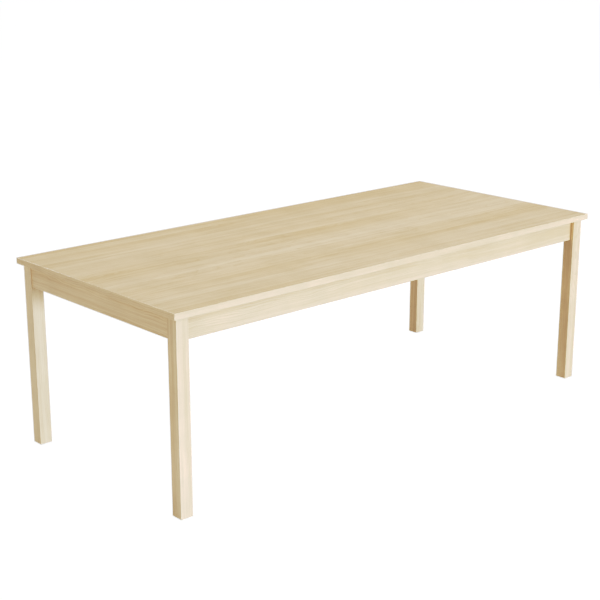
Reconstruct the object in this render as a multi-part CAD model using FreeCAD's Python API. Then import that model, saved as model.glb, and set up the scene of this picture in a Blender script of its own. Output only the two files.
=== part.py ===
import FreeCAD, Part
import math
import os

from FreeCAD import Placement, Rotation, Vector

# Rectangular hall table: a veneered board top on four square legs, joined by four rails.
# Millimetres. +Z is up, +X runs along the length, -Y is the front long side, and the origin is
# the middle of the footprint on the floor.

# Top
TOP_LENGTH = 1800.0
TOP_WIDTH = 800.0
TOP_THICKNESS = 18.5
VENEER_THICKNESS = 0.6
LIPPING_THICKNESS = 3.0
TOP_CORNER_RADIUS = 2.0
TOP_ARRIS_RADIUS = 1.2
TOP_OVERHANG = 15.0

# Legs
LEG_X = 41.0
LEG_Y = 40.0
LEG_LENGTH = 583.0
LEG_ARRIS_RADIUS = 1.8
LEG_FOOT_CHAMFER = 1.5
LEG_FLAT_DEPTH = 6.0
LEG_FLAT_LENGTH = 82.0

# Rails
RAIL_THICKNESS = 20.0
RAIL_ARRIS_RADIUS = 1.5
LONG_RAIL_HEIGHT = 71.5
LONG_RAIL_RECESS = 13.0
SHORT_RAIL_HEIGHT = 67.5
SHORT_RAIL_RECESS = 3.0

# Dowels between rails and legs
DOWEL_RADIUS = 4.0
DOWEL_LENGTH = 30.0
DOWEL_CHAMFER = 0.8
DOWEL_END_GAP = 1.0
DOWEL_RISE = 20.0

# Corner blocks and the screws that hold them to the rails
BLOCK_INNER_FACE = 59.4
BLOCK_THICKNESS = 28.0
BLOCK_HEIGHT = 56.0
BLOCK_SCREW_LENGTH = 25.0
BLOCK_SCREW_RADIUS = 2.25
BLOCK_SCREW_HEAD_RADIUS = 4.25
BLOCK_SCREW_SEAT = 9.0
BLOCK_SCREW_RISE = 16.0
BLOCK_SCREW_FROM_TIP = 13.0
COUNTERBORE_RADIUS = 4.75

# Hanger bolts, washers and nuts
FIXING_DROP = 35.0
BOLT_RADIUS = 4.0
BOLT_LENGTH = 90.0
BOLT_START = 11.3
BOLT_POINT = 6.0
BOLT_END_CHAMFER = 0.8
BOLT_HOLE_RADIUS = 4.5
WASHER_RADIUS = 12.0
WASHER_HOLE_RADIUS = 4.2
WASHER_THICKNESS = 2.0
NUT_ACROSS_FLATS = 13.0
NUT_HEIGHT = 6.5

# Angle brackets that hold the top down, and their screws
BRACKET_LEAF = 25.0
BRACKET_WIDTH = 24.0
BRACKET_THICKNESS = 2.0
BRACKET_BEND_RADIUS = 3.0
BRACKET_CORNER_RADIUS = 4.0
BRACKET_HOLE_RADIUS = 2.0
BRACKET_HOLE_DISTANCE = 15.0
BRACKET_SPACING = 560.0
BRACKET_SCREW_LENGTH = 14.0
BRACKET_SCREW_RADIUS = 1.75
BRACKET_SCREW_HEAD_RADIUS = 3.5
BRACKET_SCREW_HEAD_HEIGHT = 2.2
SCREW_POINT = 4.0

# Nail-on glides
GLIDE_RADIUS = 10.0
GLIDE_THICKNESS = 3.0
GLIDE_EDGE_RADIUS = 1.0
NAIL_HEAD_RADIUS = 4.5
NAIL_HEAD_THICKNESS = 1.0
NAIL_HEAD_LEVEL = 1.2
NAIL_RADIUS = 1.25
NAIL_LENGTH = 18.0
NAIL_POINT = 3.0

# Levels and planes that follow from the sizes above
LEG_BOTTOM = GLIDE_THICKNESS
TOP_UNDERSIDE = LEG_BOTTOM + LEG_LENGTH
TABLE_HEIGHT = TOP_UNDERSIDE + TOP_THICKNESS
FIXING_LEVEL = TOP_UNDERSIDE - FIXING_DROP
LEG_FACE_X = TOP_LENGTH / 2 - TOP_OVERHANG
LEG_FACE_Y = TOP_WIDTH / 2 - TOP_OVERHANG
LONG_RAIL_INNER = LONG_RAIL_RECESS + RAIL_THICKNESS
SHORT_RAIL_INNER = SHORT_RAIL_RECESS + RAIL_THICKNESS
BLOCK_OUTER_FACE = BLOCK_INNER_FACE + BLOCK_THICKNESS
DIAGONAL = math.sqrt(2.0)

CORNERS = {
    "front_left": (1, 1),
    "front_right": (-1, 1),
    "back_left": (1, -1),
    "back_right": (-1, -1),
}


def box(low, high):
    """A box between two opposite corners."""
    size = [b - a for a, b in zip(low, high)]
    return Part.makeBox(size[0], size[1], size[2], Vector(*low))


def rounded(shape, radius, is_wanted):
    """The shape with a fillet along each edge whose middle and direction are wanted."""
    edges = []
    for edge in shape.Edges:
        middle = edge.valueAt((edge.FirstParameter + edge.LastParameter) / 2)
        direction = edge.tangentAt(edge.FirstParameter)
        if is_wanted(middle, direction):
            edges.append(edge)
    return shape.makeFillet(radius, edges)


def is_vertical(middle, direction):
    """Whether an edge runs up and down."""
    return abs(direction.z) > 0.99


def is_level(level):
    """A test for edges whose middle lies at one height."""
    return lambda middle, direction: abs(middle.z - level) < 0.01


def turned(profile):
    """A solid of revolution about Z from (distance along Z, radius) pairs."""
    first = profile[0][0]
    last = profile[-1][0]
    points = [Vector(0, 0, first)]
    points += [Vector(radius, 0, distance) for distance, radius in profile]
    points.append(Vector(0, 0, last))
    outline = [p for i, p in enumerate(points) if i == 0 or p != points[i - 1]]
    face = Part.Face(Part.makePolygon(outline + [outline[0]]))
    return face.revolve(Vector(0, 0, 0), Vector(0, 0, 1), 360)


def aimed(shape, start, direction):
    """A shape made along +Z, moved to a start point and turned along a direction."""
    placed = shape.copy()
    placed.Placement = Placement(start, Rotation(Vector(0, 0, 1), direction))
    return placed


def at_corner(shape, corner):
    """A piece made for the front left corner, mirrored to another corner."""
    mirror_x, mirror_y = CORNERS[corner]
    placed = shape.copy()
    if mirror_x < 0:
        placed = placed.mirror(Vector(0, 0, 0), Vector(1, 0, 0))
    if mirror_y < 0:
        placed = placed.mirror(Vector(0, 0, 0), Vector(0, 1, 0))
    return placed


def corner_point(along_x, along_y, level):
    """A point measured inwards from the outer faces of the front left leg."""
    return Vector(along_x - LEG_FACE_X, along_y - LEG_FACE_Y, level)


def diagonal_point(distance, level):
    """A point on the leg's diagonal, measured inwards from its outer corner."""
    offset = (LEG_X - LEG_Y) / 2
    return corner_point(distance / DIAGONAL + offset, distance / DIAGONAL - offset, level)


def countersunk_screw():
    """A countersunk wood screw along +Z, with its head's flat face at the start."""
    cone = BLOCK_SCREW_HEAD_RADIUS - BLOCK_SCREW_RADIUS
    return turned([
        (0, BLOCK_SCREW_HEAD_RADIUS),
        (cone, BLOCK_SCREW_RADIUS),
        (BLOCK_SCREW_LENGTH - SCREW_POINT, BLOCK_SCREW_RADIUS),
        (BLOCK_SCREW_LENGTH, 0),
    ])


def pan_head_screw():
    """A pan-head wood screw along +Z, with the seat of its head at the start."""
    return turned([
        (-BRACKET_SCREW_HEAD_HEIGHT, BRACKET_SCREW_HEAD_RADIUS * 0.6),
        (-BRACKET_SCREW_HEAD_HEIGHT * 0.5, BRACKET_SCREW_HEAD_RADIUS),
        (0, BRACKET_SCREW_HEAD_RADIUS),
        (0, BRACKET_SCREW_RADIUS),
        (BRACKET_THICKNESS + BRACKET_SCREW_LENGTH - SCREW_POINT, BRACKET_SCREW_RADIUS),
        (BRACKET_THICKNESS + BRACKET_SCREW_LENGTH, 0),
    ])


def dowel():
    """A chamfered dowel along +Z, with its middle at the origin."""
    half = DOWEL_LENGTH / 2
    return turned([
        (-half, DOWEL_RADIUS - DOWEL_CHAMFER),
        (DOWEL_CHAMFER - half, DOWEL_RADIUS),
        (half - DOWEL_CHAMFER, DOWEL_RADIUS),
        (half, DOWEL_RADIUS - DOWEL_CHAMFER),
    ])


def dowel_hole():
    """The drilled holes for one dowel, in the rail and the leg together."""
    half = DOWEL_LENGTH / 2 + DOWEL_END_GAP
    return turned([(-half, DOWEL_RADIUS), (half, DOWEL_RADIUS)])


def corner_dowel_places():
    """The middle and the direction of each dowel in the front left corner."""
    long_rail_middle = LONG_RAIL_RECESS + RAIL_THICKNESS / 2
    short_rail_middle = SHORT_RAIL_RECESS + RAIL_THICKNESS / 2
    places = []
    for rise in (-DOWEL_RISE, DOWEL_RISE):
        level = FIXING_LEVEL + rise
        places.append((corner_point(LEG_X, long_rail_middle, level), Vector(1, 0, 0)))
        places.append((corner_point(short_rail_middle, LEG_Y, level), Vector(0, 1, 0)))
    return places


def corner_block_screw_places():
    """The head and the direction of each block screw in the front left corner."""
    reach = BLOCK_OUTER_FACE * DIAGONAL
    along_long_rail = reach - LONG_RAIL_INNER - BLOCK_SCREW_FROM_TIP
    along_short_rail = reach - SHORT_RAIL_INNER - BLOCK_SCREW_FROM_TIP
    places = []
    for rise in (-BLOCK_SCREW_RISE, BLOCK_SCREW_RISE):
        level = FIXING_LEVEL + rise
        head = corner_point(along_long_rail, LONG_RAIL_INNER + BLOCK_SCREW_SEAT, level)
        places.append((head, Vector(0, -1, 0)))
        head = corner_point(SHORT_RAIL_INNER + BLOCK_SCREW_SEAT, along_short_rail, level)
        places.append((head, Vector(-1, 0, 0)))
    return places


def hanger_bolt():
    """The hanger bolt of the front left corner, from its wood end to its nut end."""
    bolt = turned([
        (0, 0),
        (BOLT_POINT, BOLT_RADIUS),
        (BOLT_LENGTH - BOLT_END_CHAMFER, BOLT_RADIUS),
        (BOLT_LENGTH, BOLT_RADIUS - BOLT_END_CHAMFER),
    ])
    return aimed(bolt, diagonal_point(BOLT_START, FIXING_LEVEL), Vector(1, 1, 0))


def bolt_washer():
    """The washer between the front left corner block and its nut."""
    ring = Part.makeCylinder(WASHER_RADIUS, WASHER_THICKNESS)
    hole = Part.makeCylinder(WASHER_HOLE_RADIUS, WASHER_THICKNESS)
    start = diagonal_point(BLOCK_OUTER_FACE, FIXING_LEVEL)
    return aimed(ring.cut(hole), start, Vector(1, 1, 0))


def bolt_nut():
    """The hexagon nut on the front left hanger bolt."""
    corner_radius = NUT_ACROSS_FLATS / math.sqrt(3.0)
    points = []
    for step in range(7):
        angle = math.radians(60 * step)
        points.append(Vector(corner_radius * math.cos(angle), corner_radius * math.sin(angle), 0))
    prism = Part.Face(Part.makePolygon(points)).extrude(Vector(0, 0, NUT_HEIGHT))
    hole = Part.makeCylinder(BOLT_RADIUS, NUT_HEIGHT)
    start = diagonal_point(BLOCK_OUTER_FACE + WASHER_THICKNESS, FIXING_LEVEL)
    return aimed(prism.cut(hole), start, Vector(1, 1, 0))


def corner_block():
    """The diagonal block of the front left corner, drilled and counterbored."""
    inner = BLOCK_INNER_FACE * DIAGONAL
    outer = BLOCK_OUTER_FACE * DIAGONAL
    bottom = FIXING_LEVEL - BLOCK_HEIGHT / 2
    plan = [
        corner_point(inner - LONG_RAIL_INNER, LONG_RAIL_INNER, bottom),
        corner_point(outer - LONG_RAIL_INNER, LONG_RAIL_INNER, bottom),
        corner_point(SHORT_RAIL_INNER, outer - SHORT_RAIL_INNER, bottom),
        corner_point(SHORT_RAIL_INNER, inner - SHORT_RAIL_INNER, bottom),
    ]
    block = Part.Face(Part.makePolygon(plan + [plan[0]])).extrude(Vector(0, 0, BLOCK_HEIGHT))
    bolt_hole = Part.makeCylinder(BOLT_HOLE_RADIUS, BOLT_LENGTH)
    block = block.cut(aimed(bolt_hole, diagonal_point(0, FIXING_LEVEL), Vector(1, 1, 0)))
    counterbore = Part.makeCylinder(COUNTERBORE_RADIUS, BLOCK_THICKNESS)
    for head, direction in corner_block_screw_places():
        block = block.cut(aimed(countersunk_screw(), head, direction))
        block = block.cut(aimed(counterbore, head, -direction))
    return block


def leg():
    """The front left leg, with its stopped flat, dowel holes, bolt hole and nail hole."""
    low = corner_point(0, 0, LEG_BOTTOM)
    high = corner_point(LEG_X, LEG_Y, TOP_UNDERSIDE)
    post = rounded(box(low, high), LEG_ARRIS_RADIUS, is_vertical)
    foot_edges = [e for e in post.Edges if abs(e.BoundBox.ZMax - LEG_BOTTOM) < 0.01]
    post = post.makeChamfer(LEG_FOOT_CHAMFER, foot_edges)
    flat = (LEG_X + LEG_Y) / DIAGONAL - LEG_FLAT_DEPTH
    wedge = Part.makeBox(LEG_X, LEG_X * 2, LEG_FLAT_LENGTH, Vector(0, -LEG_X, 0))
    wedge.Placement = Placement(
        diagonal_point(flat, TOP_UNDERSIDE - LEG_FLAT_LENGTH),
        Rotation(Vector(0, 0, 1), 45),
    )
    post = post.cut(wedge)
    for middle, direction in corner_dowel_places():
        post = post.cut(aimed(dowel_hole(), middle, direction))
    return post.cut(hanger_bolt()).cut(glide_nail())


def glide():
    """The plastic glide under the front left leg, moulded round its nail's head."""
    centre = corner_point(LEG_X / 2, LEG_Y / 2, 0)
    pad = Part.makeCylinder(GLIDE_RADIUS, GLIDE_THICKNESS, centre)
    pad = rounded(pad, GLIDE_EDGE_RADIUS, is_level(0))
    return pad.cut(glide_nail())


def glide_nail():
    """The nail of the front left glide, driven up into the leg."""
    nail = turned([
        (0, NAIL_HEAD_RADIUS),
        (NAIL_HEAD_THICKNESS, NAIL_HEAD_RADIUS),
        (NAIL_HEAD_THICKNESS, NAIL_RADIUS),
        (NAIL_LENGTH - NAIL_POINT, NAIL_RADIUS),
        (NAIL_LENGTH, 0),
    ])
    start = corner_point(LEG_X / 2, LEG_Y / 2, NAIL_HEAD_LEVEL)
    return aimed(nail, start, Vector(0, 0, 1))


def bracket():
    """An angle bracket: the rail's face is Y = 0, and the top's underside is Z = 0."""
    half = BRACKET_WIDTH / 2
    angle = box((-half, 0, -BRACKET_LEAF), (half, BRACKET_LEAF, 0))
    inside = box(
        (-half, BRACKET_THICKNESS, -BRACKET_LEAF),
        (half, BRACKET_LEAF, -BRACKET_THICKNESS),
    )
    angle = angle.cut(inside)

    def is_outer_bend(middle, direction):
        return abs(middle.y) < 0.01 and abs(middle.z) < 0.01

    def is_inner_bend(middle, direction):
        return max(abs(middle.y - BRACKET_THICKNESS), abs(middle.z + BRACKET_THICKNESS)) < 0.01

    def is_free_corner(middle, direction):
        is_low = abs(middle.z + BRACKET_LEAF) < 0.01 and abs(direction.y) > 0.99
        is_far = abs(middle.y - BRACKET_LEAF) < 0.01 and abs(direction.z) > 0.99
        return is_low or is_far

    angle = rounded(angle, BRACKET_BEND_RADIUS, is_outer_bend)
    angle = rounded(angle, BRACKET_BEND_RADIUS - BRACKET_THICKNESS, is_inner_bend)
    angle = rounded(angle, BRACKET_CORNER_RADIUS, is_free_corner)
    hole = Part.makeCylinder(BRACKET_HOLE_RADIUS, BRACKET_LEAF)
    rail_hole = aimed(hole, Vector(0, 0, -BRACKET_HOLE_DISTANCE), Vector(0, 1, 0))
    top_hole = aimed(hole, Vector(0, BRACKET_HOLE_DISTANCE, 0), Vector(0, 0, -1))
    return angle.cut(rail_hole).cut(top_hole)


def bracket_rail_screw():
    """The screw from an angle bracket into its rail, in the bracket's own frame."""
    seat = Vector(0, BRACKET_THICKNESS, -BRACKET_HOLE_DISTANCE)
    return aimed(pan_head_screw(), seat, Vector(0, -1, 0))


def bracket_top_screw():
    """The screw from an angle bracket into the top, in the bracket's own frame."""
    seat = Vector(0, BRACKET_HOLE_DISTANCE, -BRACKET_THICKNESS)
    return aimed(pan_head_screw(), seat, Vector(0, 0, 1))


def bracket_places():
    """Where each angle bracket stands: its point on the rail's inner face, and its turn."""
    long_face = LEG_FACE_Y - LONG_RAIL_INNER
    short_face = LEG_FACE_X - SHORT_RAIL_INNER
    places = {}
    for name, x in (("left", -BRACKET_SPACING), ("middle", 0), ("right", BRACKET_SPACING)):
        places["front_" + name] = (Vector(x, -long_face, TOP_UNDERSIDE), 0)
        places["back_" + name] = (Vector(x, long_face, TOP_UNDERSIDE), 180)
    places["left_end"] = (Vector(-short_face, 0, TOP_UNDERSIDE), -90)
    places["right_end"] = (Vector(short_face, 0, TOP_UNDERSIDE), 90)
    return places


def at_bracket(shape, place):
    """A shape of the bracket's own frame, set at one bracket's place."""
    point, turn = place
    placed = shape.copy()
    placed.Placement = Placement(point, Rotation(Vector(0, 0, 1), turn)).multiply(shape.Placement)
    return placed


def drilled(shape, tools):
    """The shape with each tool that reaches it cut away."""
    for tool in tools:
        if shape.BoundBox.intersect(tool.BoundBox):
            shape = shape.cut(tool)
    return shape


def long_rail(side):
    """The rail along one long side, undrilled. Side is -1 at the front and 1 at the back."""
    outer = side * (LEG_FACE_Y - LONG_RAIL_RECESS)
    inner = side * (LEG_FACE_Y - LONG_RAIL_INNER)
    half = LEG_FACE_X - LEG_X
    bottom = TOP_UNDERSIDE - LONG_RAIL_HEIGHT
    low = (-half, min(outer, inner), bottom)
    high = (half, max(outer, inner), TOP_UNDERSIDE)

    def is_lower_arris(middle, direction):
        return abs(middle.z - bottom) < 0.01 and abs(direction.x) > 0.99

    return rounded(box(low, high), RAIL_ARRIS_RADIUS, is_lower_arris)


def short_rail(side):
    """The rail across one end, undrilled. Side is -1 at the left and 1 at the right."""
    outer = side * (LEG_FACE_X - SHORT_RAIL_RECESS)
    inner = side * (LEG_FACE_X - SHORT_RAIL_INNER)
    half = LEG_FACE_Y - LEG_Y
    bottom = TOP_UNDERSIDE - SHORT_RAIL_HEIGHT
    low = (min(outer, inner), -half, bottom)
    high = (max(outer, inner), half, TOP_UNDERSIDE)

    def is_lower_arris(middle, direction):
        return abs(middle.z - bottom) < 0.01 and abs(direction.y) > 0.99

    return rounded(box(low, high), RAIL_ARRIS_RADIUS, is_lower_arris)


def top_pieces(screws):
    """The core, the two veneers and the four lippings of the top."""
    half_x = TOP_LENGTH / 2
    half_y = TOP_WIDTH / 2
    inner_x = half_x - LIPPING_THICKNESS
    inner_y = half_y - LIPPING_THICKNESS
    backing_top = TOP_UNDERSIDE + VENEER_THICKNESS
    face_bottom = TABLE_HEIGHT - VENEER_THICKNESS
    slab = box((-half_x, -half_y, TOP_UNDERSIDE), (half_x, half_y, TABLE_HEIGHT))
    slab = rounded(slab, TOP_CORNER_RADIUS, is_vertical)
    slab = rounded(slab, TOP_ARRIS_RADIUS, is_level(TABLE_HEIGHT))
    slab = rounded(slab, TOP_ARRIS_RADIUS, is_level(TOP_UNDERSIDE))
    regions = {
        "front_lipping": ((-half_x, -half_y), (half_x, -inner_y)),
        "back_lipping": ((-half_x, inner_y), (half_x, half_y)),
        "left_lipping": ((-half_x, -inner_y), (-inner_x, inner_y)),
        "right_lipping": ((inner_x, -inner_y), (half_x, inner_y)),
    }
    pieces = {}
    for name, (low, high) in regions.items():
        region = box(low + (TOP_UNDERSIDE,), high + (TABLE_HEIGHT,))
        pieces[name] = slab.common(region)
    layers = {
        "top_backing_veneer": (TOP_UNDERSIDE, backing_top),
        "top_core": (backing_top, face_bottom),
        "top_face_veneer": (face_bottom, TABLE_HEIGHT),
    }
    for name, (bottom, top) in layers.items():
        layer = box((-inner_x, -inner_y, bottom), (inner_x, inner_y, top))
        pieces[name] = drilled(layer, screws)
    return pieces


def table():
    """Every piece of the table, by node name."""
    pieces = {}
    dowels = []
    dowel_holes = []
    washers = []
    nuts = []
    block_screws = []
    nails = []
    for corner in CORNERS:
        pieces["leg_" + corner] = at_corner(leg(), corner)
        pieces["corner_block_" + corner] = at_corner(corner_block(), corner)
        pieces["hanger_bolt_" + corner] = at_corner(hanger_bolt(), corner)
        pieces["glide_" + corner] = at_corner(glide(), corner)
        washers.append(at_corner(bolt_washer(), corner))
        nuts.append(at_corner(bolt_nut(), corner))
        nails.append(at_corner(glide_nail(), corner))
        for middle, direction in corner_dowel_places():
            dowels.append(at_corner(aimed(dowel(), middle, direction), corner))
            dowel_holes.append(at_corner(aimed(dowel_hole(), middle, direction), corner))
        for head, direction in corner_block_screw_places():
            block_screws.append(at_corner(aimed(countersunk_screw(), head, direction), corner))

    rail_screws = []
    top_screws = []
    for name, place in bracket_places().items():
        pieces["bracket_" + name] = at_bracket(bracket(), place)
        rail_screws.append(at_bracket(bracket_rail_screw(), place))
        top_screws.append(at_bracket(bracket_top_screw(), place))

    rail_tools = dowel_holes + block_screws + rail_screws
    pieces["front_rail"] = drilled(long_rail(-1), rail_tools)
    pieces["back_rail"] = drilled(long_rail(1), rail_tools)
    pieces["left_rail"] = drilled(short_rail(-1), rail_tools)
    pieces["right_rail"] = drilled(short_rail(1), rail_tools)
    pieces.update(top_pieces(top_screws))
    pieces["rail_dowels"] = Part.makeCompound(dowels)
    pieces["bolt_washers"] = Part.makeCompound(washers)
    pieces["bolt_nuts"] = Part.makeCompound(nuts)
    pieces["block_screws"] = Part.makeCompound(block_screws)
    pieces["bracket_rail_screws"] = Part.makeCompound(rail_screws)
    pieces["bracket_top_screws"] = Part.makeCompound(top_screws)
    pieces["glide_nails"] = Part.makeCompound(nails)
    return pieces


os.makedirs("parts", exist_ok=True)
for node, piece in table().items():
    piece.exportStep(os.path.join("parts", node + ".step"))
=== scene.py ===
"""A birch hall table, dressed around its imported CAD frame.

Lengths are metres in the frame's own axes: +X along the table, -Y the front long side, +Z up.
"""

import logging
import math
from dataclasses import dataclass, replace
from enum import Enum
from typing import Callable

import bmesh
import bpy
from mathutils import Matrix, Vector


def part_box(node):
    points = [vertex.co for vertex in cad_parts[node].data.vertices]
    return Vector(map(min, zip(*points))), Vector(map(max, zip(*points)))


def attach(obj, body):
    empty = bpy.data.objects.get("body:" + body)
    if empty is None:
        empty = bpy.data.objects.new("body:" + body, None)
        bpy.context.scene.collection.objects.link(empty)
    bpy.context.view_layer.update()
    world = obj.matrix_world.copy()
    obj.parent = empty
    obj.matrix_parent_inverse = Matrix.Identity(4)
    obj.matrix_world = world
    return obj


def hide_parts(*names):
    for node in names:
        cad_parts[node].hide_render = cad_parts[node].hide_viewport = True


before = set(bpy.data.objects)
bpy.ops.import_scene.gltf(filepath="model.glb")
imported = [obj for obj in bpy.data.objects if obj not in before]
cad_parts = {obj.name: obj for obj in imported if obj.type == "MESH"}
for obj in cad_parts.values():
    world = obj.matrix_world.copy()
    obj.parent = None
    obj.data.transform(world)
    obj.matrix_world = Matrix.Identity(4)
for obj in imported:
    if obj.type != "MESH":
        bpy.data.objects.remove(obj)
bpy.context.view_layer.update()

LOG = logging.getLogger("hall_table")
MM = 0.001
BODY = "root"
EDGE_TURN = math.radians(30)
FLAT_TURN = math.radians(1)
LEVEL_GAP = 0.01 * MM
WELD_GAP = 0.001 * MM
CARVED_GAP = 0.002 * MM
TURNED_GAP = 0.0005 * MM
BOARD_START = (0.31, 0.05, 0.0)
BOARD_STEP = (1.37, 0.173, 0.117)

Colour = tuple[float, float, float]
Point = tuple[float, float, float]
Outline = list[tuple[float, float]]


class Grain(Enum):
    """The way that a piece's fibres run, as the turn in degrees that brings them onto X."""

    LENGTHWISE = (0, 0, 0)
    CROSSWISE = (0, 0, -90)
    UPRIGHT = (0, 90, 0)
    RISING = (0, 0, -45)
    FALLING = (0, 0, 45)

    def turn(self) -> Point:
        """The same turn in radians."""
        x, y, z = self.value
        return (math.radians(x), math.radians(y), math.radians(z))


class Side(Enum):
    """One side of the table: its name, the axis across it, and its sign along that axis."""

    FRONT = ("front", 1, -1)
    BACK = ("back", 1, 1)
    LEFT = ("left", 0, -1)
    RIGHT = ("right", 0, 1)


class Corner(Enum):
    """One corner of the table: its name, and its signs along X and Y."""

    FRONT_LEFT = ("front_left", -1, -1)
    FRONT_RIGHT = ("front_right", 1, -1)
    BACK_LEFT = ("back_left", -1, 1)
    BACK_RIGHT = ("back_right", 1, 1)

    @property
    def tag(self) -> str:
        """The corner's part of a node name."""
        return self.value[0]

    @property
    def inward(self) -> Vector:
        """The level direction from the corner's leg to the middle of the table, at 45 degrees."""
        return Vector((-self.value[1], -self.value[2], 0)).normalized()

    def plan_point(self, node: str, outer: bool) -> Vector:
        """One corner of a node's box in plan.

        Args:
            node: The CAD node's name.
            outer: Whether it is the corner farthest from the middle of the table, or the nearest.

        Returns:
            The point, at the middle of the node's height.
        """
        low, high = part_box(node)
        x = high.x if (self.value[1] > 0) == outer else low.x
        y = high.y if (self.value[2] > 0) == outer else low.y
        return Vector((x, y, (low.z + high.z) / 2))


# ---------------------------------------------------------------- node trees


class Tree:
    """A short hand for wiring one node tree."""

    def __init__(self, tree: bpy.types.NodeTree) -> None:
        """Keeps the tree.

        Args:
            tree: The node tree to wire.
        """
        self.tree = tree

    def put(self, socket: bpy.types.NodeSocket, value: object) -> None:
        """Feeds an input from a socket, or sets its value.

        Args:
            socket: The input.
            value: A socket to link, or a plain value.
        """
        if isinstance(value, bpy.types.NodeSocket):
            self.tree.links.new(value, socket)
        elif value is not None:
            socket.default_value = value

    def add(
        self, kind: str, inputs: dict[str, object] | None = None, **settings: object
    ) -> bpy.types.Node:
        """Adds a node.

        Args:
            kind: The node's type name, without "ShaderNode".
            inputs: Values or sockets by input name.
            **settings: Attributes of the node.

        Returns:
            The new node.
        """
        node = self.tree.nodes.new("ShaderNode" + kind)
        for name, value in settings.items():
            setattr(node, name, value)
        for name, value in (inputs or {}).items():
            self.put(node.inputs[name], value)
        return node

    def math(self, operation: str, *values: object, clamp: bool = False) -> bpy.types.NodeSocket:
        """Adds a Math node.

        Args:
            operation: The node's operation.
            *values: Its inputs in order, as sockets or numbers.
            clamp: Whether the result is held between 0 and 1.

        Returns:
            The result socket.
        """
        node = self.add("Math", operation=operation, use_clamp=clamp)
        for socket, value in zip(node.inputs, values):
            self.put(socket, value)
        return node.outputs[0]

    def vector(self, operation: str, *values: object) -> bpy.types.NodeSocket:
        """Adds a Vector Math node.

        Args:
            operation: The node's operation.
            *values: Its inputs in order, as sockets or vectors.

        Returns:
            The vector result socket.
        """
        node = self.add("VectorMath", operation=operation)
        for socket, value in zip(node.inputs, values):
            self.put(socket, value)
        return node.outputs[0]

    def noise(
        self, vector: object, stretch: Point, detail: float = 2.0, roughness: float = 0.5
    ) -> bpy.types.NodeSocket:
        """Adds a noise that is stretched along the pattern's axes.

        Args:
            vector: The position socket.
            stretch: Cells per metre along X, Y and Z.
            detail: Octaves of the noise.
            roughness: How strong the finer octaves are.

        Returns:
            The noise value, about 0 to 1.
        """
        stretched = self.vector("MULTIPLY", vector, stretch)
        inputs = {"Vector": stretched, "Scale": 1.0, "Detail": detail, "Roughness": roughness}
        return self.add("TexNoise", inputs).outputs[0]

    def spread(
        self, value: object, low: float, high: float, to_low: float = 0.0, to_high: float = 1.0
    ) -> bpy.types.NodeSocket:
        """Maps a range smoothly onto another one.

        Args:
            value: The value socket.
            low: The value that gives to_low.
            high: The value that gives to_high.
            to_low: The result at low.
            to_high: The result at high.

        Returns:
            The mapped socket.
        """
        inputs = {
            "Value": value,
            "From Min": low,
            "From Max": high,
            "To Min": to_low,
            "To Max": to_high,
        }
        return self.add("MapRange", inputs, interpolation_type="SMOOTHSTEP").outputs[0]

    def mix(
        self, factor: object, first: object, second: object, blend: str = "MIX"
    ) -> bpy.types.NodeSocket:
        """Mixes two colours.

        Args:
            factor: The second colour's share.
            first: The colour at factor 0.
            second: The colour at factor 1.
            blend: How the second colour is laid over the first.

        Returns:
            The colour socket.
        """
        node = self.add("Mix", data_type="RGBA", blend_type=blend)
        for number, value in ((0, factor), (6, first), (7, second)):
            self.put(node.inputs[number], value)
        return node.outputs[2]


def blank_material(name: str) -> tuple[bpy.types.Material, Tree]:
    """Starts an empty material.

    Args:
        name: The material's name.

    Returns:
        The material and its wiring short hand.
    """
    material = bpy.data.materials.new(name)
    material.use_nodes = True
    material.node_tree.nodes.clear()
    return material, Tree(material.node_tree)


@dataclass(frozen=True)
class Relief:
    """How strong a finish's bump is, and how deep."""

    strength: float
    depth: float

    def close(
        self,
        tree: Tree,
        colour: bpy.types.NodeSocket,
        rough: bpy.types.NodeSocket,
        height: bpy.types.NodeSocket,
    ) -> bpy.types.Node:
        """Ends a material with a bumped shader.

        Args:
            tree: The material's wiring short hand.
            colour: The base colour.
            rough: The roughness.
            height: The bump's height.

        Returns:
            The shader, for the constants on its own sockets.
        """
        inputs = {"Strength": self.strength, "Distance": self.depth, "Height": height}
        normal = tree.add("Bump", inputs).outputs[0]
        shader = tree.add("BsdfPrincipled", {"Base Color": colour, "Roughness": rough, "Normal": normal})
        tree.add("OutputMaterial", {"Surface": shader.outputs[0]})
        return shader


def new_group(
    name: str, inputs: dict[str, object], outputs: dict[str, str]
) -> tuple[bpy.types.NodeTree, Tree, bpy.types.Node]:
    """Starts a shader node group with named sockets.

    Args:
        name: The group's name.
        inputs: Default values by input name. A number makes a float, and three numbers a vector.
        outputs: Socket kinds, such as "Float", by output name.

    Returns:
        The group, its wiring short hand and its input node.
    """
    group = bpy.data.node_groups.new(name, "ShaderNodeTree")
    for label, value in inputs.items():
        kind = "NodeSocketVector" if isinstance(value, tuple) else "NodeSocketFloat"
        socket = group.interface.new_socket(name=label, in_out="INPUT", socket_type=kind)
        socket.default_value = value
    for label, kind in outputs.items():
        group.interface.new_socket(name=label, in_out="OUTPUT", socket_type="NodeSocket" + kind)
    tree = Tree(group)
    return group, tree, group.nodes.new("NodeGroupInput")


def close_group(tree: Tree, results: dict[str, bpy.types.NodeSocket]) -> None:
    """Wires a group's results to its outputs.

    Args:
        tree: The group's wiring short hand.
        results: Sockets by output name.
    """
    end = tree.tree.nodes.new("NodeGroupOutput")
    for name, socket in results.items():
        tree.put(end.inputs[name], socket)


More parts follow.
